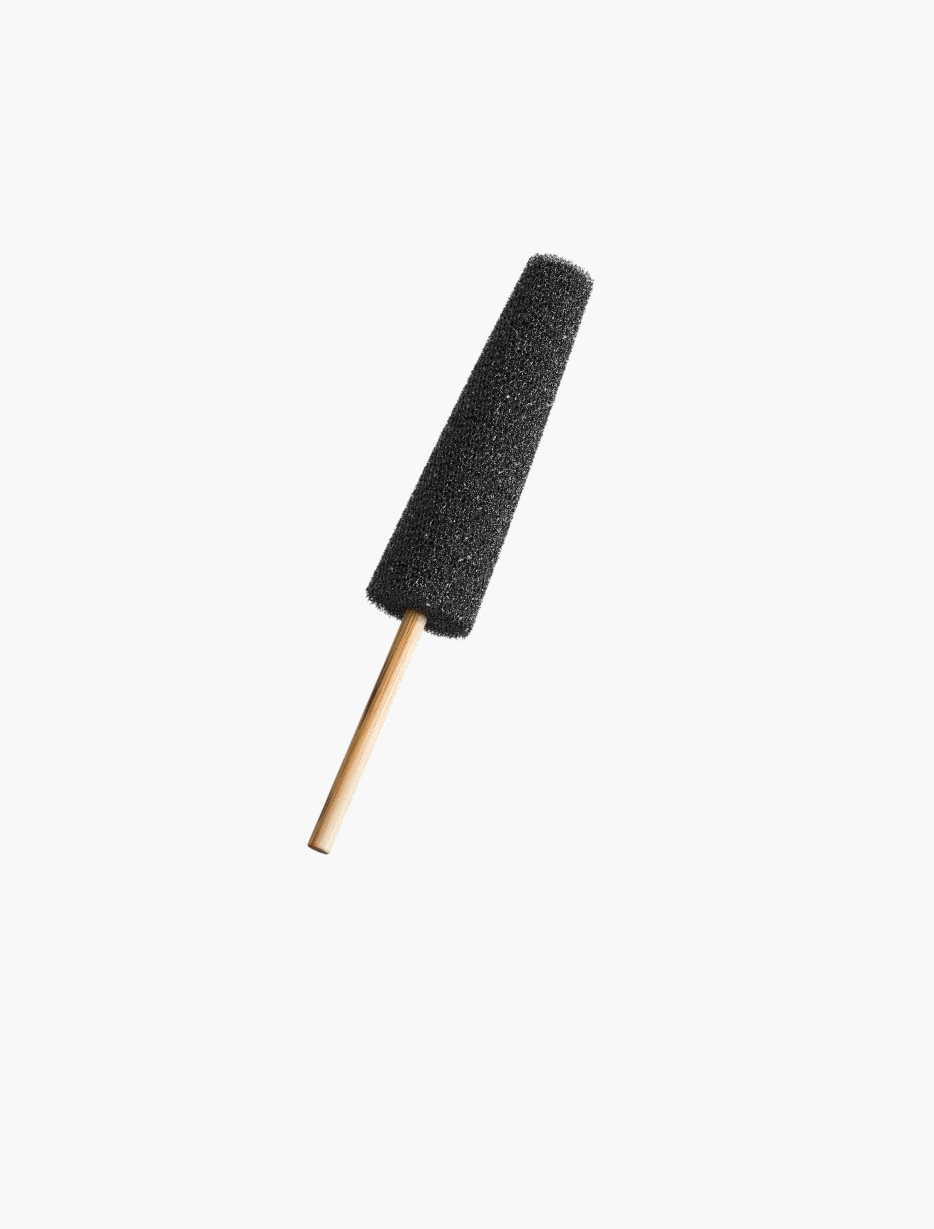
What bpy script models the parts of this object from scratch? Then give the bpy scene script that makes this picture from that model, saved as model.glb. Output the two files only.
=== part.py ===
"""Foam applicator: a tapered open-cell foam head glued onto a round wooden dowel.

The axis is +Z. The origin is the centre of the handle's free end, and the head is at the top.
All lengths are in metres.
"""

import math

import bmesh
import bpy

# Handle
HANDLE_DIAMETER = 0.00635        # quarter-inch dowel
HANDLE_EXPOSED = 0.071           # free end to the head's lower face
HANDLE_EDGE_BREAK = 0.00025      # sanded edge at both ends

# Foam head
HEAD_LENGTH = 0.1105
HEAD_BASE_DIAMETER = 0.0310      # wide end, where the handle goes in
HEAD_TIP_DIAMETER = 0.0198       # narrow working end
HEAD_SIDE_BOW = 0.0005           # how far the side swells past a straight taper at mid length
HEAD_BASE_RIM_RADIUS = 0.0008    # slight rounding of the cut edges
HEAD_TIP_RIM_RADIUS = 0.0005
HEAD_SOLID_TIP = 0.028           # foam left between the pocket's end and the tip face
MOUTH_DEPTH = 0.004              # length over which the foam closes on the bare handle

# Glue
GLUE_FILM = 0.0004               # wall of the cured glue around the buried handle

# Between pieces that seat on each other
SEAT_GAP = 0.0003

# Faceting
SEGMENTS = 64                    # around the axis
SIDE_STEPS = 12                  # along the bowed side
RIM_STEPS = 4                    # across each rounded rim
WELD = 0.00002                   # closes the seam of a turned shape
SHARP_ANGLE = math.radians(35)

# Worked out from the sizes above
HANDLE_RADIUS = HANDLE_DIAMETER / 2
HEAD_BASE_Z = HANDLE_EXPOSED
HEAD_TIP_Z = HEAD_BASE_Z + HEAD_LENGTH
POCKET_TOP_Z = HEAD_TIP_Z - HEAD_SOLID_TIP
POCKET_BOTTOM_Z = HEAD_BASE_Z + MOUTH_DEPTH
MOUTH_RADIUS = HANDLE_RADIUS + SEAT_GAP
GLUE_INNER_RADIUS = HANDLE_RADIUS + SEAT_GAP
GLUE_OUTER_RADIUS = GLUE_INNER_RADIUS + GLUE_FILM
GLUE_TOP_Z = POCKET_TOP_Z - SEAT_GAP
GLUE_BOTTOM_Z = POCKET_BOTTOM_Z + SEAT_GAP
HANDLE_TOP_Z = GLUE_TOP_Z - GLUE_FILM - SEAT_GAP
POCKET_RADIUS = GLUE_OUTER_RADIUS + SEAT_GAP


def clear_scene():
    for item in list(bpy.data.objects):
        bpy.data.objects.remove(item, do_unlink=True)


def make_material(name, colour, roughness, specular):
    material = bpy.data.materials.new(name)
    material.use_nodes = True
    shader = material.node_tree.nodes["Principled BSDF"]
    shader.inputs["Base Color"].default_value = (*colour, 1.0)
    shader.inputs["Roughness"].default_value = roughness
    shader.inputs["Metallic"].default_value = 0.0
    shader.inputs["Specular IOR Level"].default_value = specular
    return material


def rounded_corner(before, corner, after, radius, steps):
    """Points of an arc of the given radius that replaces a corner of a profile."""
    to_before = (before[0] - corner[0], before[1] - corner[1])
    to_after = (after[0] - corner[0], after[1] - corner[1])
    length_before = math.hypot(*to_before)
    length_after = math.hypot(*to_after)
    unit_before = (to_before[0] / length_before, to_before[1] / length_before)
    unit_after = (to_after[0] / length_after, to_after[1] / length_after)
    cosine = unit_before[0] * unit_after[0] + unit_before[1] * unit_after[1]
    half_angle = math.acos(cosine) / 2
    tangent = radius / math.tan(half_angle)
    bisector = (unit_before[0] + unit_after[0], unit_before[1] + unit_after[1])
    bisector_length = math.hypot(*bisector)
    reach = radius / math.sin(half_angle) / bisector_length
    centre = (corner[0] + bisector[0] * reach, corner[1] + bisector[1] * reach)
    start = (corner[0] + unit_before[0] * tangent, corner[1] + unit_before[1] * tangent)
    end = (corner[0] + unit_after[0] * tangent, corner[1] + unit_after[1] * tangent)
    start_angle = math.atan2(start[1] - centre[1], start[0] - centre[0])
    end_angle = math.atan2(end[1] - centre[1], end[0] - centre[0])
    sweep = (end_angle - start_angle + math.pi) % (2 * math.pi) - math.pi
    points = []
    for step in range(steps + 1):
        angle = start_angle + sweep * step / steps
        points.append((centre[0] + radius * math.cos(angle), centre[1] + radius * math.sin(angle)))
    return points


def turned_piece(name, profile, material):
    """A solid of revolution. The profile's (radius, height) points start and end on the axis."""
    mesh = bpy.data.meshes.new(name)
    outline = bmesh.new()
    corners = [outline.verts.new((radius, 0.0, height)) for radius, height in profile]
    for first, second in zip(corners, corners[1:]):
        outline.edges.new((first, second))
    outline.to_mesh(mesh)
    outline.free()
    piece = bpy.data.objects.new(name, mesh)
    bpy.context.scene.collection.objects.link(piece)

    screw = piece.modifiers.new("turn", 'SCREW')
    screw.axis = 'Z'
    screw.angle = 2 * math.pi
    screw.steps = SEGMENTS
    screw.render_steps = SEGMENTS
    screw.use_merge_vertices = True
    screw.merge_threshold = WELD

    evaluated = piece.evaluated_get(bpy.context.evaluated_depsgraph_get())
    piece.data = bpy.data.meshes.new_from_object(evaluated)
    piece.data.name = name
    piece.modifiers.clear()
    bpy.data.meshes.remove(mesh)
    piece.data.shade_smooth()
    piece.data.set_sharp_from_angle(angle=SHARP_ANGLE)
    piece.data.materials.clear()
    piece.data.materials.append(material)
    return piece


def head_side_radius(height):
    """Radius of the head's bowed side at a height between its two faces."""
    share = (height - HEAD_BASE_Z) / HEAD_LENGTH
    straight = HEAD_BASE_DIAMETER / 2 + (HEAD_TIP_DIAMETER - HEAD_BASE_DIAMETER) / 2 * share
    return straight + HEAD_SIDE_BOW * 4 * share * (1 - share)


def make_foam_head():
    side = []
    for step in range(SIDE_STEPS + 1):
        height = HEAD_TIP_Z - HEAD_LENGTH * step / SIDE_STEPS
        side.append((head_side_radius(height), height))
    tip_centre = (0.0, HEAD_TIP_Z)
    mouth_edge = (MOUTH_RADIUS, HEAD_BASE_Z)
    profile = [tip_centre]
    profile += rounded_corner(tip_centre, side[0], side[1], HEAD_TIP_RIM_RADIUS, RIM_STEPS)
    profile += side[1:-1]
    profile += rounded_corner(side[-2], side[-1], mouth_edge, HEAD_BASE_RIM_RADIUS, RIM_STEPS)
    profile += [
        mouth_edge,
        (MOUTH_RADIUS, POCKET_BOTTOM_Z),
        (POCKET_RADIUS, POCKET_BOTTOM_Z),
        (POCKET_RADIUS, POCKET_TOP_Z),
        (0.0, POCKET_TOP_Z),
    ]
    foam = make_material("black_open_cell_foam", (0.018, 0.018, 0.020), 0.75, 0.35)
    return turned_piece("foam_head", profile, foam)


def make_handle_dowel():
    shoulder = HANDLE_RADIUS - HANDLE_EDGE_BREAK
    profile = [
        (0.0, HANDLE_TOP_Z),
        (shoulder, HANDLE_TOP_Z),
        (HANDLE_RADIUS, HANDLE_TOP_Z - HANDLE_EDGE_BREAK),
        (HANDLE_RADIUS, HANDLE_EDGE_BREAK),
        (shoulder, 0.0),
        (0.0, 0.0),
    ]
    birch = make_material("birch_wood", (0.76, 0.56, 0.34), 0.55, 0.4)
    return turned_piece("handle_dowel", profile, birch)


def make_glue_bond():
    """The cured glue: a thimble over the buried stretch of the handle."""
    inner_top = GLUE_TOP_Z - GLUE_FILM
    profile = [
        (0.0, GLUE_TOP_Z),
        (GLUE_OUTER_RADIUS, GLUE_TOP_Z),
        (GLUE_OUTER_RADIUS, GLUE_BOTTOM_Z),
        (GLUE_INNER_RADIUS, GLUE_BOTTOM_Z),
        (GLUE_INNER_RADIUS, inner_top),
        (0.0, inner_top),
    ]
    glue = make_material("amber_glue", (0.55, 0.38, 0.16), 0.3, 0.5)
    return turned_piece("glue_bond", profile, glue)


clear_scene()
make_foam_head()
make_handle_dowel()
make_glue_bond()
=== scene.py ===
"""Looks of the foam applicator: open-cell foam head, turned wooden handle, glue, studio and camera.

All lengths are in metres unless a comment says otherwise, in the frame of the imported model: the
handle's free end is at the origin and the head points up +Z.
"""

import math

import bmesh
import bpy
import numpy as np
from mathutils import Euler, Matrix, Vector, kdtree, noise


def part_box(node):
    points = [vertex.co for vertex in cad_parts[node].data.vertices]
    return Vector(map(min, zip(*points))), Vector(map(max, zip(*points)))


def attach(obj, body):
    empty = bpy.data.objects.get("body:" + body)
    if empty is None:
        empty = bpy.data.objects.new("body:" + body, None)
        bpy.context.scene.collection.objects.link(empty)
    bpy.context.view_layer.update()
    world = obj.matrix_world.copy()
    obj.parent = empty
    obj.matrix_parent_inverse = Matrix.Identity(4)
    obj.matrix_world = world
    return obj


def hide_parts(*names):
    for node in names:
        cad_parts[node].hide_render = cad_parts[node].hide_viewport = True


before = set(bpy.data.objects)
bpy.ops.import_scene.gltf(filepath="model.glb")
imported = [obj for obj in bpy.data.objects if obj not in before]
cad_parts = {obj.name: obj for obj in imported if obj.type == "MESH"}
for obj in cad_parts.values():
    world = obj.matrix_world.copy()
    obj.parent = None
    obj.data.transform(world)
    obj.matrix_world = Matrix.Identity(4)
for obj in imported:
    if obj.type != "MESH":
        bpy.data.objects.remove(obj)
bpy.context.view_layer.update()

MILLIMETRE = 0.001

# The picture, and how the object sits in it
PICTURE_WIDTH = 934
PICTURE_HEIGHT = 1229
FIELD_OF_VIEW = math.radians(28.0)       # across the picture's height
SENSOR_HEIGHT = 36.0                     # millimetres, the long side
LEAN = math.radians(22.55)               # head to the right of upright
RECEDE = math.radians(15.5)              # tip further away than the handle's end
HEAD_BASE_PIXEL = (417.2, 614.1)         # where the axis meets the head's lower face
HEAD_BASE_DEPTH = 0.6787                 # from the camera, along its view

# Strands of the open-cell foam
CELL_PITCH = 0.00142                     # cubic repeat of the cell lattice; a cell is about as wide
CELL_STRETCH = 1.90                      # cells are this much longer along the head than across it
CELL_JITTER = 0.17                       # of the pitch
LATTICE_TURN = Euler((0.41, 0.27, 0.19))  # keeps rows of cells off the head's axis
STRAND_INSET = 0.000185                  # from a strand's middle to each of its three ridges
SHELL_DEPTH = 0.0022                     # strands are modelled this far in from the cut surface
CUT_SPREAD = 0.00035                     # how unevenly the knife left the strands' ends
RIM_SPREAD = 0.0010                      # the same at the two rims, which are more ragged
RIM_REACH = 0.0030                       # from a rim, where the ends are as even as elsewhere
SHORTEST_STUB = 0.12                     # least share of a strand that a cut leaves
BURIED_STUB = 0.80                       # share that is left of strands that the handle cuts off
CELLS_BEYOND = 1.2 * CELL_PITCH          # corners are placed this far past the modelled strands
FOAM_SEED = 20
BANDS = 14                               # pieces that the strand network is split into
DEPTH_ATTRIBUTE = "depth_in_foam"        # 0 at the cut surface, 1 at the innermost strands
BLOCK = 8                                # pitches along a side of the block of cells that repeats
BLOCK_LOTS = 16                          # the block's cells are worked out in so many lots
FARTHEST_COPY = 2                        # a corner's cells lie in copies up to this far away
NEIGHBOURS = 44                          # nearest cells that may share a corner with a cell
LARGEST_RING = 0.90                      # of the pitch: three cells further apart share no strand
CORNER_SHARPNESS = 0.7                   # 1 is a true corner; less evens out the strands' lengths
NEARLY_ZERO = 1e-9                       # stands in for zero in divisions and tests
HEIGHT_DECIMALS = 7                      # to which points of the CAD head count as equally high

# The foam's dark middle, behind the strands: a dark solid in place of the deeper foam, painted shade
CORE_DEPTH = 0.0016                      # it starts this far in from the cut surface
CORE_GAP = 0.0003                        # it stands this far clear of the handle and the glue
CORE_SIDES = 128
CORE_ROWS = 240                          # along its side
CORE_RINGS = 18                          # across each end face
CORE_CELL = 0.9 * CELL_PITCH             # spacing of the dents in it
DENT_DEPTH = 0.0005
POCKET_WALL_RADIUS = 0.0045              # its surface nearer the axis than this is the pocket's
POCKET_CEILING = 0.001                   # the pocket's surface ends this far above the glue

# Finish of the foam
SCUFFS_PER_MM = 0.9                      # patches where the strands are scuffed
SCUFF_DARKEST = 0.5                      # times the strands' colour
SCUFF_PALEST = 1.5
STRAND_ROUGHNESS = (0.38, 0.19)          # at the darkest scuffs and the palest
STRAND_IOR = 1.9
STRAND_SPECULAR = 0.90
PAINTED_GLINT_SPACING = 4.2                       # millimetres between painted glints: near-white spots in the strands' colour that stand for light caught by bits of cell film
PAINTED_GLINT_SIZE = 1.3                          # millimetres across such a glint
PAINTED_GLINT_SOLID = 0.7                         # share of a glint's size that is fully pale
CORE_PATCHES_PER_MM = 0.9
CORE_ROUGHNESS = 0.8
CORE_SPECULAR = 0.3

# Handle
HANDLE_SIDES = 96
HANDLE_ROWS = 180
END_RINGS = 6
HANDLE_EDGE_BREAK = 0.00025              # sanded edge at both ends
GRAIN_RELIEF = 0.00005                   # how deep the fibres stand in the turned side
GRAIN_ACROSS = 2600.0                    # about as many bumps per metre across the grain
GRAIN_ALONG = 60.0                       # and along it
SAW_RELIEF = 0.00008                     # roughness of the cut free end
SAW_SCALE = 2200.0                       # about as many bumps per metre of that end

# Finish of the handle. A noise is given as its size across the grain, along it, and its detail.
PITH = (-0.0080, -0.0030, 0.0)           # the middle of the log that the handle was turned from, set off towards the side that the lights leave in shade
GRAIN_TILT = math.radians(1.2)           # the grain runs this far off the handle's axis
ORANGE_SHADED_EDGE = 4.9                         # millimetres from the pith, where the wood is orange: heartwood tone and painted shade on the shaded side
PALE_LIT_EDGE = 10.3                         # where it is palest: a painted highlight on the lit side
WANDER_NOISE = (0.0012, 0.060, 3.0)      # moves these edges in and out along the handle
WANDER = (-0.9, 1.3)                     # millimetres
RING_STRETCH = 0.055                     # growth rings hardly change along the grain
RINGS_PER_MM = 0.30
RING_DEPTH = (1.16, 0.96)                # powers of the colour on rings and between them
FIBRE_NOISE = (0.00042, 0.060, 3.0)
FIBRE_DEPTH = (1.40, 0.90)               # powers of the colour on fibres and between them
FIBRE_LEVELS = (0.38, 0.60)              # of the noise, where these are reached
END_GRAIN_DEPTH = 1.8                    # the sawn ends are deeper in colour, by this power
STREAK_NOISE = (0.00042, 0.035, 2.0)
STREAK_LEVELS = (0.51, 0.545)            # of the noise, between which a dark line sets in
STREAK_COLOUR = (0.17, 0.055, 0.014)
STREAK_STRENGTH = (1.0, 0.12)            # in the orange wood and in the pale
STREAK_EDGES = (5.8, 8.0)                # millimetres from the pith, where these are reached
STAIN_AND_SHADE_NOISE = (0.0008, 0.0030, 2.0)
STAIN_AND_SHADE_COLOUR = (0.42, 0.17, 0.03)
STAIN_AND_SHADE_STRENGTH = 0.80
STAIN_AND_SHADE_REACH = 0.0012                      # the glue's stain, with painted shade under the foam's edge, shows this far below the foam
WOOD_ROUGHNESS = (0.72, 0.50)            # on fibres and between them
WOOD_SPECULAR = 0.15
WOOD_BUMP = 0.00005

# Finish of the glue
CLOUDS_PER_MM = 0.5
GLUE_ROUGHNESS = 0.3

# Studio
FLOOR_Z = -0.40
STUDIO_RADIUS = 2.6
FLOOR_SHARE = 0.98                       # the floor's radius, of the studio's
FLOOR_SIDES = 96
BACKDROP_SEGMENTS = 64
BACKDROP_RINGS = 32
BACKDROP_GLOW = 0.94
FLOOR_GLOW = 0.91
FLOOR_GREY = 0.05
FLOOR_ROUGHNESS = 0.9
WORLD_GLOW = 0.15

# Lights: place from the head's base, as metres right, up and nearer in the picture; the width of
# the lit disk; and its power in watts
LIGHTS = {
    "key": ((0.98, -0.10, 0.50), 0.36, 14.0),
    "front": ((-0.15, 0.50, 1.0), 0.60, 2.9),
    "rear_left": ((-0.80, 0.10, -0.85), 0.80, 3.6),
    "rear_right": ((0.60, 0.10, -1.0), 0.80, 5.0),
    "top": ((0.25, 1.15, -0.55), 0.60, 5.0),
    "low": ((0.15, -0.95, 0.55), 0.50, 2.6),
}

# Where the pieces are, from the model
foam_low, foam_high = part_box("foam_head")
glue_low, glue_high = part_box("glue_bond")
handle_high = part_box("handle_dowel")[1]
HEAD_BASE_Z = foam_low.z
HEAD_TIP_Z = foam_high.z
HEAD_LENGTH = HEAD_TIP_Z - HEAD_BASE_Z
HEAD_RADIUS = foam_high.x
HANDLE_RADIUS = handle_high.x
HANDLE_TOP_Z = handle_high.z


def head_outline():
    """Heights and radii of the head's outer surface, read from its CAD solid."""
    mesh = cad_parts["foam_head"].data
    points = np.empty(len(mesh.vertices) * 3)
    mesh.vertices.foreach_get("co", points)
    points = points.reshape(-1, 3)
    radii = np.hypot(points[:, 0], points[:, 1])
    heights = np.round(points[:, 2], HEIGHT_DECIMALS)
    levels = np.unique(heights)
    widest = np.array([radii[heights == level].max() for level in levels])
    outer = widest > 2 * HANDLE_RADIUS
    return levels[outer], widest[outer]


OUTLINE_Z, OUTLINE_R = head_outline()


def depth_in_head(points):
    """How far points lie inside the head's cut surface; negative outside it."""
    radii = np.hypot(points[:, 0], points[:, 1])
    heights = points[:, 2]
    side = np.interp(heights, OUTLINE_Z, OUTLINE_R) - radii
    return np.minimum(side, np.minimum(heights - HEAD_BASE_Z, HEAD_TIP_Z - heights))


def from_rim(points):
    """How far points lie from the nearer of the head's two rims."""
    side = np.interp(points[:, 2], OUTLINE_Z, OUTLINE_R) - np.hypot(points[:, 0], points[:, 1])
    face = np.minimum(points[:, 2] - HEAD_BASE_Z, HEAD_TIP_Z - points[:, 2])
    return np.hypot(side, face)


def clear_of_handle(points):
    """How far points lie outside the handle's side, or above its buried end."""
    beside = np.hypot(points[:, 0], points[:, 1]) - HANDLE_RADIUS
    return np.maximum(beside, points[:, 2] - HANDLE_TOP_Z)


# Camera

def camera_axes():
    """World directions of the picture's right, up and towards the viewer."""
    axis = Vector((
        math.sin(LEAN) * math.cos(RECEDE),
        math.cos(LEAN) * math.cos(RECEDE),
        -math.sin(RECEDE),
    ))
    ahead = Vector((0.0, 0.0, -1.0))
    across_ahead = (ahead - axis * ahead.dot(axis)).normalized()
    across_side = across_ahead.cross(axis)
    return Matrix((across_side, across_ahead, axis))


def add_camera():
    to_world = camera_axes()
    focal = PICTURE_HEIGHT / 2 / math.tan(FIELD_OF_VIEW / 2)
    head_base = Vector((
        (HEAD_BASE_PIXEL[0] - PICTURE_WIDTH / 2) / focal * HEAD_BASE_DEPTH,
        (PICTURE_HEIGHT / 2 - HEAD_BASE_PIXEL[1]) / focal * HEAD_BASE_DEPTH,
        -HEAD_BASE_DEPTH,
    ))
    data = bpy.data.cameras.new("camera")
    data.sensor_width = SENSOR_HEIGHT
    data.lens = SENSOR_HEIGHT / 2 / math.tan(FIELD_OF_VIEW / 2)
    camera = bpy.data.objects.new("camera", data)
    bpy.context.scene.collection.objects.link(camera)
    place = Vector((0.0, 0.0, HEAD_BASE_Z)) - to_world @ head_base
    camera.matrix_world = Matrix.Translation(place) @ to_world.to_4x4()
    bpy.context.scene.camera = camera
    return camera


# Shader helpers

def new_material(name):
    material = bpy.data.materials.new(name)
    material.use_nodes = True
    tree = material.node_tree
    shader = tree.nodes["Principled BSDF"]
    return material, tree, shader


def add_node(tree, kind, **settings):
    node = tree.nodes.new(kind)
    for name, value in settings.items():
        if name in node.inputs:
            node.inputs[name].default_value = value
        else:
            setattr(node, name, value)
    return node


def add_texture(tree, kind, where, **settings):
    """A texture node that is looked up at the given places."""
    texture = add_node(tree, kind, **settings)
    tree.links.new(where, texture.inputs["Vector"])
    return texture


def colour_ramp(tree, source, stops):
    """Colours for values from 0 to 1. A stop is a value and its red, green and blue."""
    ramp = tree.nodes.new("ShaderNodeValToRGB")
    elements = ramp.color_ramp.elements
    while len(elements) < len(stops):
        elements.new(0.5)
    for element, (place, colour) in zip(elements, stops):
        element.position = place
        element.color = (*colour, 1.0)
    tree.links.new(source, ramp.inputs["Fac"])
    return ramp.outputs["Color"]


def in_millimetres(tree):
    """Places on a piece, in millimetres."""
    place = tree.nodes.new("ShaderNodeTexCoord")
    scaled = add_node(tree, "ShaderNodeVectorMath", operation='SCALE', Scale=1 / MILLIMETRE)
    tree.links.new(place.outputs["Object"], scaled.inputs[0])
    return scaled.outputs[0]


def height_of(tree, kind):
    """The Z part of a piece's coordinates of one kind, such as Object or Normal."""
    parts = tree.nodes.new("ShaderNodeSeparateXYZ")
    coordinates = tree.nodes.new("ShaderNodeTexCoord")
    tree.links.new(coordinates.outputs[kind], parts.inputs["Vector"])
    return parts.outputs["Z"]


def range_of(tree, source, low, high, start=0.0, end=1.0):
    """Spreads the values from start to end over those from low to high."""
    spread = tree.nodes.new("ShaderNodeMapRange")
    spread.inputs["From Min"].default_value = start
    spread.inputs["From Max"].default_value = end
    spread.inputs["To Min"].default_value = low
    spread.inputs["To Max"].default_value = high
    tree.links.new(source, spread.inputs["Value"])
    return spread.outputs["Result"]


def calculated(tree, operation, *sources):
    node = add_node(tree, "ShaderNodeMath", operation=operation)
    for source, socket in zip(sources, node.inputs):
        tree.links.new(source, socket)
    return node.outputs[0]


def tinted(tree, source, share, colour):
    """A colour mixed with a plain one, by a share from 0 to 1."""
    mix = add_node(tree, "ShaderNodeMix", data_type='RGBA')
    factor, first, second = [socket for socket in mix.inputs if socket.enabled]
    tree.links.new(share, factor)
    tree.links.new(source, first)
    second.default_value = (*colour, 1.0)
    return next(socket for socket in mix.outputs if socket.enabled)


# Finish of the foam

def strand_material():
    """Black polyurethane strands in scuffed patches, paler and darker at random; painted shade makes
    them blacker the deeper they lie in the foam, and painted glints dot them with near-white spots.
    """
    material, tree, shader = new_material("foam_strands")
    where = in_millimetres(tree)
    scuffs = add_texture(
        tree, "ShaderNodeTexNoise", where, Scale=SCUFFS_PER_MM, Detail=3.0, Roughness=0.6,
    )
    scuff = range_of(tree, scuffs.outputs["Fac"], SCUFF_DARKEST, SCUFF_PALEST)
    # Painted shade: the strands' colour darkens with their depth in the foam, where less light
    # reaches
    depth = add_node(tree, "ShaderNodeAttribute", attribute_name=DEPTH_ATTRIBUTE)
    tint = colour_ramp(tree, depth.outputs["Fac"], [
        (0.00, (0.030, 0.030, 0.032)),
        (0.25, (0.011, 0.011, 0.012)),
        (0.55, (0.005, 0.005, 0.005)),
        (1.00, (0.004, 0.004, 0.004)),
    ])
    shade = add_node(tree, "ShaderNodeVectorMath", operation='SCALE')
    tree.links.new(tint, shade.inputs[0])
    tree.links.new(scuff, shade.inputs["Scale"])

    # Painted glints: scattered near-white spots added to the strands' colour, standing for light
    # caught by bits of cell film
    film = add_texture(tree, "ShaderNodeTexVoronoi", where, Scale=1 / PAINTED_GLINT_SPACING)
    glint_edge = PAINTED_GLINT_SIZE / 2 / PAINTED_GLINT_SPACING
    painted_glints = colour_ramp(tree, film.outputs["Distance"], [
        (glint_edge * PAINTED_GLINT_SOLID, (0.80, 0.80, 0.80)),
        (glint_edge, (0.0, 0.0, 0.0)),
    ])
    shade_and_glints = add_node(tree, "ShaderNodeVectorMath", operation='ADD')
    tree.links.new(shade.outputs[0], shade_and_glints.inputs[0])
    tree.links.new(painted_glints, shade_and_glints.inputs[1])
    tree.links.new(shade_and_glints.outputs[0], shader.inputs["Base Color"])

    gloss = range_of(tree, scuffs.outputs["Fac"], *STRAND_ROUGHNESS)
    tree.links.new(gloss, shader.inputs["Roughness"])
    shader.inputs["IOR"].default_value = STRAND_IOR
    shader.inputs["Specular IOR Level"].default_value = STRAND_SPECULAR
    return material


def core_material():
    """Painted shade deep in the foam, a little paler between patches of black."""
    material, tree, shader = new_material("foam_depths")
    cells = add_texture(
        tree, "ShaderNodeTexVoronoi", in_millimetres(tree), Scale=CORE_PATCHES_PER_MM,
    )
    tint = colour_ramp(tree, cells.outputs["Distance"], [
        (0.15, (0.003, 0.003, 0.003)),
        (0.75, (0.014, 0.014, 0.015)),
    ])
    tree.links.new(tint, shader.inputs["Base Color"])
    shader.inputs["Roughness"].default_value = CORE_ROUGHNESS
    shader.inputs["Specular IOR Level"].default_value = CORE_SPECULAR
    return material


# Strands of the foam

# Cells fill the head like packed bubbles. Two cells share a film, three share a strand, and four
# share a corner. Of a corner's four cells, the pairs give its films and the triples its strands.
PAIRS = ((0, 1), (0, 2), (0, 3), (1, 2), (1, 3), (2, 3))
TRIPLES = ((0, 1, 2), (0, 1, 3), (0, 2, 3), (1, 2, 3))
# The three films along each strand, and the three around each cell
TRIPLE_PAIRS = np.array([
    [PAIRS.index(pair) for pair in ((i, j), (i, k), (j, k))] for i, j, k in TRIPLES
])
CELL_PAIRS = np.array([[n for n, pair in enumerate(PAIRS) if cell in pair] for cell in range(4)])
RIDGES = len(PAIRS)                      # ridge vertices at a corner, one for each film


def whole_steps(count):
    """Every point of a cubic grid with this many points on a side, from 0 up."""
    return np.stack(np.meshgrid(*[np.arange(count)] * 3, indexing="ij"), -1).reshape(-1, 3)


def number_of(steps, farthest):
    """One number for each triple of whole steps that are from -farthest to farthest."""
    side = 2 * farthest + 1
    return (steps + farthest) @ np.array((side * side, side, 1))


def strands_at(places, near, own, numbers):
    """Strands of some cells, each as its three cells, and the two cells that end it.

    Three cells share a line of points as far from one as from the others. Every other cell nearby
    cuts that line short, and the two that leave the least of it give the strand its two corners.
    A strand is taken only at the one of its cells that has the lowest number.
    """
    others = near[own]
    first, second = np.triu_indices(NEIGHBOURS, 1)
    lowest = numbers[others] > numbers[own][:, None]
    row, pair = np.nonzero(lowest[:, first] & lowest[:, second])
    first, second = first[pair], second[pair]
    to_others = places[others] - places[own][:, None]
    a, b = to_others[row, first], to_others[row, second]
    line = np.cross(a, b)
    squared = np.maximum((line * line).sum(1), NEARLY_ZERO)
    a_squared = (a * a).sum(1)[:, None]
    b_squared = (b * b).sum(1)[:, None]
    middle = np.cross(a_squared * b - b_squared * a, line) / (2 * squared[:, None])
    close = (middle * middle).sum(1) < LARGEST_RING ** 2
    row, first, second, middle = row[close], first[close], second[close], middle[close]
    line = line[close] / np.sqrt(squared[close])[:, None]

    around = to_others[row]
    slope = (around * line[:, None]).sum(2)
    reach = (around * around).sum(2) / 2 - (around * middle[:, None]).sum(2)
    count = np.arange(len(row))
    slope[count, first] = slope[count, second] = NEARLY_ZERO
    reach = reach / slope
    reach[count, first] = reach[count, second] = np.nan
    upper = np.where(slope > 0, reach, np.nan)
    lower = np.where(slope < 0, reach, np.nan)
    top, bottom = np.nanargmin(upper, 1), np.nanargmax(lower, 1)
    real = lower[count, bottom] < upper[count, top]

    corners = []
    for end, limits in ((top, upper), (bottom, lower)):
        place = places[own[row]] + middle + line * limits[count, end][:, None]
        cells = np.stack([own[row], others[row, first], others[row, second], others[row, end]], 1)
        corners.append((cells[real], place[real]))
    return corners


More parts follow.
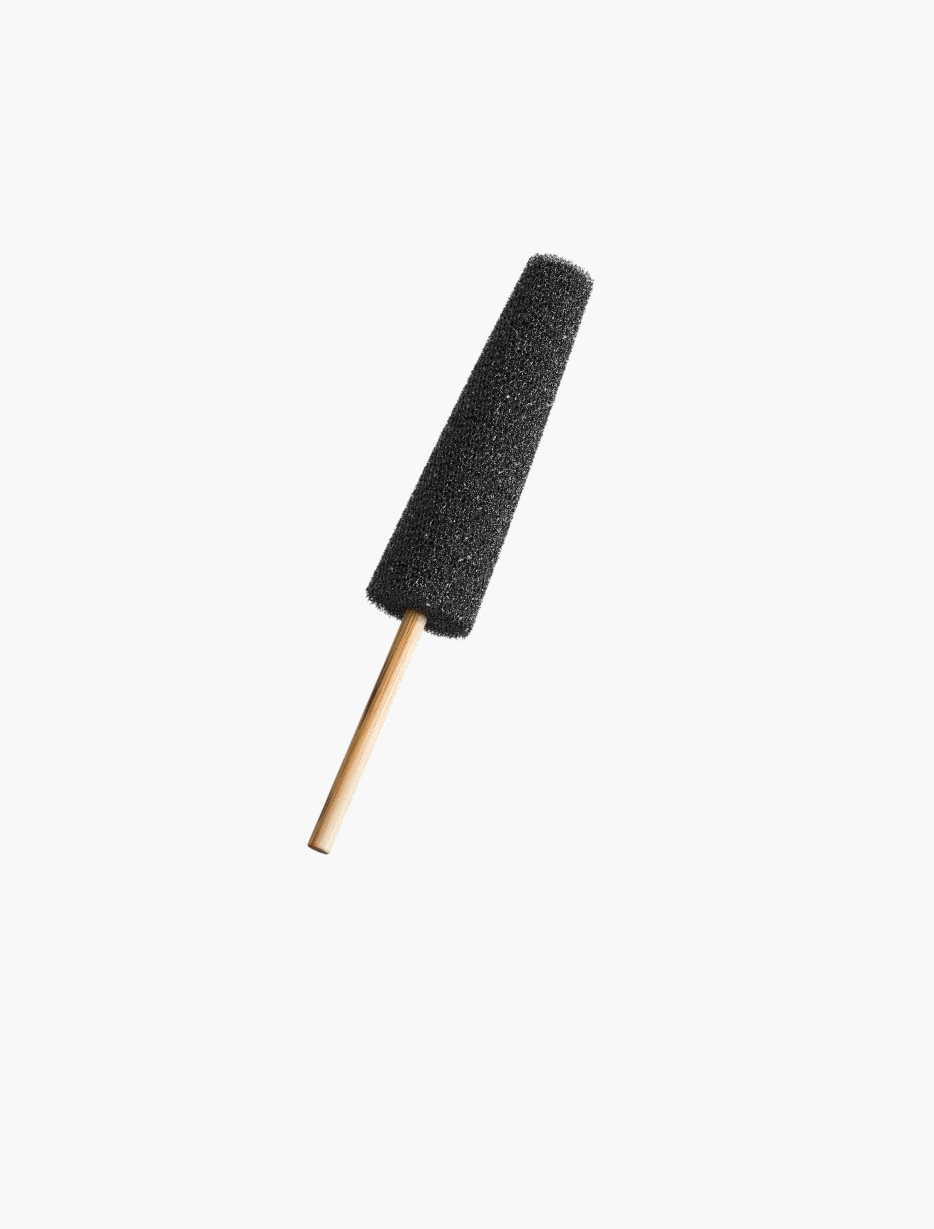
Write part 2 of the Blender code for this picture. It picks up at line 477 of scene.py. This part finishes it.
def foam_block():
    """A cube of shaken cells that fits onto its own copies without a seam, in cell pitches.

    Gives the cells' count and, for every corner in the cube, its four cells and its place. A cell
    is given by its number and by the steps to the copy of the cube that holds it.
    """
    # A cell at each point of a cubic grid, and one in the middle of each of its cubes
    steps = whole_steps(BLOCK)
    places = np.concatenate([steps, steps + 0.5])
    total = len(places)
    places += np.random.default_rng(FOAM_SEED).uniform(-CELL_JITTER, CELL_JITTER, places.shape)
    # The block itself and its 26 neighbours
    copies = whole_steps(3) - 1
    places = (places + copies[:, None] * BLOCK).reshape(-1, 3)
    numbers = np.tile(np.arange(total), len(copies))

    finder = kdtree.KDTree(len(places))
    for index, place in enumerate(places):
        finder.insert(place, index)
    finder.balance()
    own_copy = np.flatnonzero((copies == 0).all(1))[0]
    own_cells = np.arange(own_copy * total, (own_copy + 1) * total)
    near = np.zeros((len(places), NEIGHBOURS), dtype=int)
    for own in own_cells:
        near[own] = [index for _, index, _ in finder.find_n(places[own], NEIGHBOURS + 1)[1:]]

    found = []
    for own in np.array_split(own_cells, BLOCK_LOTS):
        found += strands_at(places, near, own, numbers)
    cells = np.concatenate([cells for cells, _ in found])
    corners = np.concatenate([place for _, place in found])
    copy_shift = np.floor(corners / BLOCK).astype(int)
    middles = places[cells].mean(1)
    corners = middles + (corners - middles) * CORNER_SHARPNESS - copy_shift * BLOCK
    copy_steps = copies[cells // total] - copy_shift[:, None]
    keys = number_of(copy_steps, FARTHEST_COPY) * total + cells % total
    _, chosen = np.unique(np.sort(keys, axis=1), axis=0, return_index=True)
    return total, cells[chosen] % total, copy_steps[chosen], corners[chosen]


def in_head(places):
    """Turns places from cell pitches into metres in the head, which are turned and stretched."""
    turned = places @ np.array(LATTICE_TURN.to_matrix()).T * CELL_PITCH
    return turned * (1.0, 1.0, CELL_STRETCH) + (0.0, 0.0, (HEAD_BASE_Z + HEAD_TIP_Z) / 2)


def foam_corners():
    """Where four cells of the head's foam meet: the four cells' numbers, and the place."""
    total, cells, copy_steps, places = foam_block()
    size = BLOCK * CELL_PITCH
    reach = math.ceil(math.hypot(HEAD_LENGTH / 2, HEAD_RADIUS) / size) + 1
    blocks = whole_steps(2 * reach + 1) - reach
    half_diagonal = size * CELL_STRETCH * math.sqrt(3) / 2
    blocks = blocks[depth_in_head(in_head((blocks + 0.5) * BLOCK)) > -half_diagonal]
    corners = in_head((places + blocks[:, None] * BLOCK).reshape(-1, 3))
    copies = number_of(blocks[:, None, None] + copy_steps, reach + FARTHEST_COPY)
    cells = (copies * total + cells).reshape(-1, 4)
    depth = depth_in_head(corners)
    wanted = (depth > -CELLS_BEYOND) & (depth < SHELL_DEPTH + CELLS_BEYOND)
    _, cells = np.unique(cells[wanted], return_inverse=True)
    return np.sort(cells.reshape(-1, 4), axis=1), corners[wanted]


def film_directions(cells, corners):
    """Unit vectors from every corner towards the middles of its six films."""
    total = cells.max() + 1
    film_keys = np.concatenate([cells[:, i] * total + cells[:, j] for i, j in PAIRS])
    _, film = np.unique(film_keys, return_inverse=True)
    owners = np.tile(np.arange(len(corners)), RIDGES)
    counts = np.bincount(film)
    middles = np.stack([np.bincount(film, corners[owners, n]) / counts for n in range(3)], 1)
    towards = middles[film].reshape(RIDGES, -1, 3).transpose(1, 0, 2) - corners[:, None]
    return towards / np.maximum(np.linalg.norm(towards, axis=2, keepdims=True), NEARLY_ZERO)


def strand_rings(cells, kept):
    """Every strand with a kept corner, as that corner, the other one, and the ridges at each."""
    total = cells.max() + 1
    count = len(cells)
    strand_keys = np.concatenate([
        (cells[:, i] * total + cells[:, j]) * total + cells[:, k] for i, j, k in TRIPLES
    ])
    order = np.argsort(strand_keys, kind="stable")
    same = np.flatnonzero(strand_keys[order][1:] == strand_keys[order][:-1])
    first, second = order[same], order[same + 1]
    swap = ~kept[first % count]
    first, second = np.where(swap, second, first), np.where(swap, first, second)
    used = kept[first % count]
    start, start_triple = first[used] % count, first[used] // count
    end, end_triple = second[used] % count, second[used] // count
    start_ring = start[:, None] * RIDGES + TRIPLE_PAIRS[start_triple]
    end_ring = end[:, None] * RIDGES + TRIPLE_PAIRS[end_triple]
    return start, end, start_ring, end_ring


def strand_network():
    """Vertices, and per band the quads and triangles, of the foam's strands.

    Where strands meet, each film between two cells leaves one ridge vertex, so a corner has six of
    them and a strand end has three. Strands, corners and end caps share them and close the mesh.
    """
    cells, corners = foam_corners()
    below_surface = depth_in_head(corners)
    depth = np.minimum(below_surface, clear_of_handle(corners))
    kept = (depth > 0) & (below_surface < SHELL_DEPTH)
    towards = film_directions(cells, corners)
    points = (corners[:, None] + towards * STRAND_INSET).reshape(-1, 3)

    # Rings of three ridges that turn the same way at both ends
    start, end, start_ring, end_ring = strand_rings(cells, kept)
    a, b, c = (points[start_ring[:, n]] for n in range(3))
    along = corners[end] - corners[start]
    backwards = (np.cross(b - a, c - a) * along).sum(1) < 0
    start_ring[backwards] = start_ring[backwards][:, ::-1]
    end_ring[backwards] = end_ring[backwards][:, ::-1]

    # Strands that are cut off before their far corner
    cut = ~kept[end]
    random = np.random.default_rng(FOAM_SEED + 1)
    reach = depth[start] / np.maximum(depth[start] - depth[end], NEARLY_ZERO)
    spread = np.interp(from_rim(corners[start]), (0.0, RIM_REACH), (RIM_SPREAD, CUT_SPREAD))
    reach += random.uniform(-1.0, 1.0, len(reach)) * spread / np.linalg.norm(along, axis=1)
    reach = np.where(depth[end] > 0, BURIED_STUB, np.clip(reach, SHORTEST_STUB, 1.0))[cut]
    stubs = points[start_ring[cut]] + (along[cut] * reach[:, None])[:, None]
    end_ring[cut] = len(points) + np.arange(3 * len(stubs)).reshape(-1, 3)
    points = np.concatenate([points, stubs.reshape(-1, 3)])

    # Sides of the strands, in the band of the corner that they start from
    height = (corners[:, 2] - HEAD_BASE_Z) / HEAD_LENGTH
    band = np.clip((height * BANDS).astype(int), 0, BANDS - 1)
    strand_band = band[start]
    sides = np.concatenate([
        np.stack([start_ring[:, m], start_ring[:, n], end_ring[:, n], end_ring[:, m]], 1)
        for m, n in ((0, 1), (1, 2), (2, 0))
    ])
    side_band = np.tile(strand_band, 3)

    # Triangles at the corners, over cut ends, and on both sides of a border between bands
    joined = np.flatnonzero(kept)
    webs = []
    for cell_pairs in CELL_PAIRS:
        ring = joined[:, None] * RIDGES + cell_pairs
        a, b, c = (points[ring[:, n]] for n in range(3))
        outward = towards[joined][:, cell_pairs].sum(1)
        inward = (np.cross(b - a, c - a) * outward).sum(1) < 0
        ring[inward] = ring[inward][:, ::-1]
        webs.append(ring)
    crosses = ~cut & (band[end] != strand_band)
    ends = [end_ring[cut], end_ring[crosses], end_ring[crosses][:, ::-1]]
    triangles = np.concatenate(webs + ends)
    web_bands = [band[joined]] * len(webs)
    end_bands = [strand_band[cut], strand_band[crosses], band[end[crosses]]]
    triangle_band = np.concatenate(web_bands + end_bands)
    return points, sides, side_band, triangles, triangle_band


# Meshes

def mesh_from_arrays(name, points, quads, triangles):
    """A mesh of those points that the faces use, with each one's depth in the foam."""
    corners = np.concatenate([quads.ravel(), triangles.ravel()])
    used, numbers = np.unique(corners, return_inverse=True)
    mesh = bpy.data.meshes.new(name)
    mesh.vertices.add(len(used))
    mesh.vertices.foreach_set("co", points[used].ravel())
    mesh.loops.add(len(numbers))
    mesh.loops.foreach_set("vertex_index", numbers.astype(np.int32))
    starts = np.concatenate([
        np.arange(len(quads)) * 4,
        len(quads) * 4 + np.arange(len(triangles)) * 3,
    ])
    mesh.polygons.add(len(starts))
    mesh.polygons.foreach_set("loop_start", starts.astype(np.int32))
    mesh.update(calc_edges=True)
    mesh.validate()
    mesh.shade_smooth()
    depth = mesh.attributes.new(DEPTH_ATTRIBUTE, 'FLOAT', 'POINT')
    depth.data.foreach_set("value", np.clip(depth_in_head(points[used]) / SHELL_DEPTH, 0.0, 1.0))
    return mesh


def mesh_from_shape(name, shape):
    """Turns a finished bmesh into a mesh, and frees it."""
    mesh = bpy.data.meshes.new(name)
    shape.to_mesh(mesh)
    shape.free()
    return mesh


def add_piece(name, mesh, material):
    piece = bpy.data.objects.new(name, mesh)
    bpy.context.scene.collection.objects.link(piece)
    mesh.materials.append(material)
    return piece


def turned_mesh(name, profile, sides):
    """A closed turned surface. Its (radius, height) points start and end on the axis."""
    turns = [2 * math.pi * n / sides for n in range(sides)]
    shape = bmesh.new()
    rings = []
    for radius, height in profile:
        if radius < NEARLY_ZERO:
            rings.append([shape.verts.new((0.0, 0.0, height))])
            continue
        rings.append([
            shape.verts.new((radius * math.cos(turn), radius * math.sin(turn), height))
            for turn in turns
        ])
    for upper, lower in zip(rings, rings[1:]):
        for n in range(sides):
            follow = (n + 1) % sides
            corners = [upper[n % len(upper)], lower[n % len(lower)]]
            if len(lower) > 1:
                corners.append(lower[follow])
            if len(upper) > 1:
                corners.append(upper[follow])
            shape.faces.new(corners)
    mesh = mesh_from_shape(name, shape)
    mesh.shade_smooth()
    return mesh


def bumps_at(place):
    """Smooth noise from about 0 to 1."""
    return 0.5 + 0.5 * noise.noise(place)


# Foam head

def core_profile():
    """The head's outline, set in, with a pocket for the glued handle."""
    top, bottom = HEAD_TIP_Z - CORE_DEPTH, HEAD_BASE_Z + CORE_DEPTH
    profile = [(0.0, top)]
    edge = float(np.interp(top, OUTLINE_Z, OUTLINE_R)) - CORE_DEPTH
    profile += [(edge * n / CORE_RINGS, top) for n in range(1, CORE_RINGS)]
    for n in range(CORE_ROWS + 1):
        height = top + (bottom - top) * n / CORE_ROWS
        profile.append((float(np.interp(height, OUTLINE_Z, OUTLINE_R)) - CORE_DEPTH, height))
    lip = profile[-1][0]
    mouth = HANDLE_RADIUS + CORE_GAP
    for n in range(1, CORE_RINGS + 1):
        profile.append((lip + (mouth - lip) * n / CORE_RINGS, bottom))
    pocket_radius = glue_high.x + CORE_GAP
    profile += [
        (mouth, glue_low.z - CORE_GAP),
        (pocket_radius, glue_low.z - CORE_GAP),
        (pocket_radius, glue_high.z + CORE_GAP),
        (0.0, glue_high.z + CORE_GAP),
    ]
    return profile


def add_foam_core(material):
    """The foam's dark middle, a solid of painted shade in place of the deeper foam, dented by cells
    everywhere but in its pocket.
    """
    mesh = turned_mesh("foam_core", core_profile(), CORE_SIDES)
    for vertex in mesh.vertices:
        place = vertex.co
        near_axis = math.hypot(place.x, place.y) < POCKET_WALL_RADIUS
        in_pocket = near_axis and place.z < glue_high.z + POCKET_CEILING
        if not in_pocket:
            from_cell = noise.voronoi(place / CORE_CELL)[0][0]
            outward = Vector((place.x, place.y, 0.0)).normalized()
            vertex.co = place - outward * DENT_DEPTH * (1.0 - from_cell)
    return add_piece("foam_core", mesh, material)


def add_foam_head():
    core = add_foam_core(core_material())
    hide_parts("foam_head")
    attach(core, "root")
    strands = strand_material()
    points, sides, side_band, triangles, triangle_band = strand_network()
    for band in range(BANDS):
        name = f"foam_strands_{band + 1:02d}"
        mesh = mesh_from_arrays(
            name, points, sides[side_band == band], triangles[triangle_band == band]
        )
        piece = add_piece(name, mesh, strands)
        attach(piece, "root")


# Handle and glue

def grain_coordinates(tree, across, along):
    """Places in the log that the handle was turned from, in steps of the given lengths."""
    place = tree.nodes.new("ShaderNodeTexCoord")
    mapping = add_node(tree, "ShaderNodeMapping", vector_type='TEXTURE')
    mapping.inputs["Location"].default_value = PITH
    mapping.inputs["Rotation"].default_value = (0.0, GRAIN_TILT, 0.0)
    mapping.inputs["Scale"].default_value = (across, across, along)
    tree.links.new(place.outputs["Object"], mapping.inputs["Vector"])
    return mapping.outputs["Vector"]


def grain_noise(tree, across, along, detail):
    """Noise from 0 to 1 in the log, of the given size across its grain and along it."""
    where = grain_coordinates(tree, across, along)
    fibres = add_texture(
        tree, "ShaderNodeTexNoise", where, Scale=1.0, Detail=detail, Roughness=0.6,
    )
    return fibres.outputs["Fac"]


def from_pith(tree):
    """Millimetres from the pith, with some wander along the handle."""
    flat = add_node(tree, "ShaderNodeVectorMath", operation='MULTIPLY')
    tree.links.new(grain_coordinates(tree, MILLIMETRE, MILLIMETRE), flat.inputs[0])
    flat.inputs[1].default_value = (1.0, 1.0, 0.0)
    distance = add_node(tree, "ShaderNodeVectorMath", operation='LENGTH')
    tree.links.new(flat.outputs[0], distance.inputs[0])
    wander = range_of(tree, grain_noise(tree, *WANDER_NOISE), *WANDER)
    return calculated(tree, 'ADD', distance.outputs["Value"], wander)


def wood_material():
    """Birch, with growth rings and fine darker fibres. Its colour runs from orange on the side left
    in shade to pale cream on the lit side: partly heartwood, partly painted shade and a painted
    highlight.
    """
    material, tree, shader = new_material("birch_wood")
    place = from_pith(tree)
    # Painted light across the handle: deeper orange on its shaded side and pale cream on its lit
    # side, over the heartwood's own tone
    heartwood_and_painted_light = colour_ramp(tree, range_of(tree, place, 0.0, 1.0, ORANGE_SHADED_EDGE, PALE_LIT_EDGE), [
        (0.05, (0.97, 0.57, 0.23)),
        (0.36, (0.97, 0.57, 0.25)),
        (0.48, (0.91, 0.62, 0.38)),
        (0.62, (0.82, 0.66, 0.49)),
        (0.80, (0.77, 0.66, 0.53)),
        (1.00, (0.78, 0.69, 0.57)),
    ])

    rings = add_texture(
        tree, "ShaderNodeTexWave", grain_coordinates(tree, MILLIMETRE, RING_STRETCH),
        Scale=RINGS_PER_MM, Distortion=0.8, Detail=2.0, wave_type='RINGS', rings_direction='Z',
    )
    ring_depth = range_of(tree, rings.outputs["Fac"], *RING_DEPTH)
    fibres = grain_noise(tree, *FIBRE_NOISE)
    fibre_depth = range_of(tree, fibres, *FIBRE_DEPTH, *FIBRE_LEVELS)
    endways = calculated(tree, 'ABSOLUTE', height_of(tree, "Normal"))
    end_depth = range_of(tree, endways, 1.0, END_GRAIN_DEPTH)
    side_depth = calculated(tree, 'MULTIPLY', ring_depth, fibre_depth)
    tint = tree.nodes.new("ShaderNodeGamma")
    tree.links.new(heartwood_and_painted_light, tint.inputs["Color"])
    tree.links.new(calculated(tree, 'MULTIPLY', side_depth, end_depth), tint.inputs["Gamma"])

    lines = range_of(tree, grain_noise(tree, *STREAK_NOISE), 0.0, 1.0, *STREAK_LEVELS)
    strength = range_of(tree, place, *STREAK_STRENGTH, *STREAK_EDGES)
    streaks = calculated(tree, 'MULTIPLY', lines, strength)
    streaked = tinted(tree, tint.outputs["Color"], streaks, STREAK_COLOUR)
    # A glue stain with painted shade: the handle is darker amber just below the foam's edge, where
    # the foam shades it
    ragged = range_of(tree, grain_noise(tree, *STAIN_AND_SHADE_NOISE), -STAIN_AND_SHADE_REACH, STAIN_AND_SHADE_REACH)
    near_foam = calculated(tree, 'ADD', height_of(tree, "Object"), ragged)
    stain_and_shade = range_of(tree, near_foam, 0.0, STAIN_AND_SHADE_STRENGTH, HEAD_BASE_Z - STAIN_AND_SHADE_REACH, HEAD_BASE_Z)
    tree.links.new(tinted(tree, streaked, stain_and_shade, STAIN_AND_SHADE_COLOUR), shader.inputs["Base Color"])

    tree.links.new(range_of(tree, fibres, *WOOD_ROUGHNESS), shader.inputs["Roughness"])
    bump = add_node(tree, "ShaderNodeBump", Strength=0.5, Distance=WOOD_BUMP)
    tree.links.new(calculated(tree, 'SUBTRACT', fibres, lines), bump.inputs["Height"])
    tree.links.new(bump.outputs["Normal"], shader.inputs["Normal"])
    shader.inputs["Specular IOR Level"].default_value = WOOD_SPECULAR
    return material


def glue_material():
    material, tree, shader = new_material("amber_glue")
    clouds = add_texture(
        tree, "ShaderNodeTexNoise", in_millimetres(tree), Scale=CLOUDS_PER_MM, Detail=2.0,
    )
    tint = colour_ramp(tree, clouds.outputs["Fac"], [
        (0.35, (0.42, 0.25, 0.09)),
        (0.65, (0.60, 0.42, 0.20)),
    ])
    tree.links.new(tint, shader.inputs["Base Color"])
    shader.inputs["Roughness"].default_value = GLUE_ROUGHNESS
    return material


def add_handle(material):
    """The turned dowel, a little uneven along its grain, with a sawn face at each end."""
    rim = HANDLE_RADIUS - HANDLE_EDGE_BREAK
    face = [(rim * n / END_RINGS, HANDLE_TOP_Z) for n in range(END_RINGS + 1)]
    long_side = HANDLE_TOP_Z - 2 * HANDLE_EDGE_BREAK
    side = [
        (HANDLE_RADIUS, HANDLE_EDGE_BREAK + long_side * (1 - n / HANDLE_ROWS))
        for n in range(HANDLE_ROWS + 1)
    ]
    profile = face + side + [(radius, 0.0) for radius, _ in reversed(face)]
    mesh = turned_mesh("handle_wood", profile, HANDLE_SIDES)
    for vertex in mesh.vertices:
        place = vertex.co.copy()
        along_grain = (place.x * GRAIN_ACROSS, place.y * GRAIN_ACROSS, place.z * GRAIN_ALONG)
        inward = Vector((place.x, place.y, 0.0)) / HANDLE_RADIUS
        vertex.co = place - inward * GRAIN_RELIEF * bumps_at(Vector(along_grain))
        if place.z < HANDLE_EDGE_BREAK / 2:
            vertex.co.z += SAW_RELIEF * bumps_at(place * SAW_SCALE)
    piece = add_piece("handle_wood", mesh, material)
    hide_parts("handle_dowel")
    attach(piece, "root")


def dress_glue():
    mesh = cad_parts["glue_bond"].data
    mesh.materials.clear()
    mesh.materials.append(glue_material())


# Studio

def emission_material(name, strength):
    """A material that only glows, in white."""
    material = bpy.data.materials.new(name)
    material.use_nodes = True
    tree = material.node_tree
    tree.nodes.remove(tree.nodes["Principled BSDF"])
    glow = add_node(tree, "ShaderNodeEmission", Strength=strength)
    glow.inputs["Color"].default_value = (1.0, 1.0, 1.0, 1.0)
    tree.links.new(glow.outputs["Emission"], tree.nodes["Material Output"].inputs["Surface"])
    return material


def add_world():
    world = bpy.data.worlds.new("studio")
    bpy.context.scene.world = world
    world.use_nodes = True
    background = world.node_tree.nodes["Background"]
    background.inputs["Color"].default_value = (1.0, 1.0, 1.0, 1.0)
    background.inputs["Strength"].default_value = WORLD_GLOW


def add_backdrop():
    shape = bmesh.new()
    bmesh.ops.create_uvsphere(
        shape, u_segments=BACKDROP_SEGMENTS, v_segments=BACKDROP_RINGS, radius=STUDIO_RADIUS,
    )
    bmesh.ops.reverse_faces(shape, faces=shape.faces)
    mesh = mesh_from_shape("backdrop", shape)
    mesh.shade_smooth()
    backdrop = add_piece("backdrop", mesh, emission_material("backdrop", BACKDROP_GLOW))
    backdrop.visible_diffuse = False
    backdrop.visible_glossy = False
    backdrop.visible_transmission = False
    backdrop.visible_shadow = False


def add_floor():
    shape = bmesh.new()
    bmesh.ops.create_circle(
        shape, cap_ends=True, segments=FLOOR_SIDES, radius=STUDIO_RADIUS * FLOOR_SHARE,
    )
    material, _, shader = new_material("floor")
    shader.inputs["Base Color"].default_value = (FLOOR_GREY, FLOOR_GREY, FLOOR_GREY, 1.0)
    shader.inputs["Roughness"].default_value = FLOOR_ROUGHNESS
    shader.inputs["Emission Color"].default_value = (1.0, 1.0, 1.0, 1.0)
    shader.inputs["Emission Strength"].default_value = FLOOR_GLOW
    floor = add_piece("floor", mesh_from_shape("floor", shape), material)
    floor.location.z = FLOOR_Z
    floor.visible_diffuse = False
    floor.visible_glossy = False


def add_lights(camera):
    target = Vector((0.0, 0.0, HEAD_BASE_Z))
    to_world = camera.matrix_world.to_3x3()
    for name, (offset, size, power) in LIGHTS.items():
        data = bpy.data.lights.new(name, 'AREA')
        data.shape = 'DISK'
        data.size = size
        data.energy = power
        light = bpy.data.objects.new(name, data)
        bpy.context.scene.collection.objects.link(light)
        light.location = target + to_world @ Vector(offset)
        light.visible_camera = False
        light.rotation_euler = (target - light.location).to_track_quat('-Z', 'Y').to_euler()


camera = add_camera()
add_foam_head()
add_handle(wood_material())
dress_glue()
add_world()
add_backdrop()
add_floor()
add_lights(camera)
bpy.context.scene.view_settings.view_transform = 'Standard'
bpy.context.scene.cycles.use_denoising = False      # it would wipe out the foam's strands
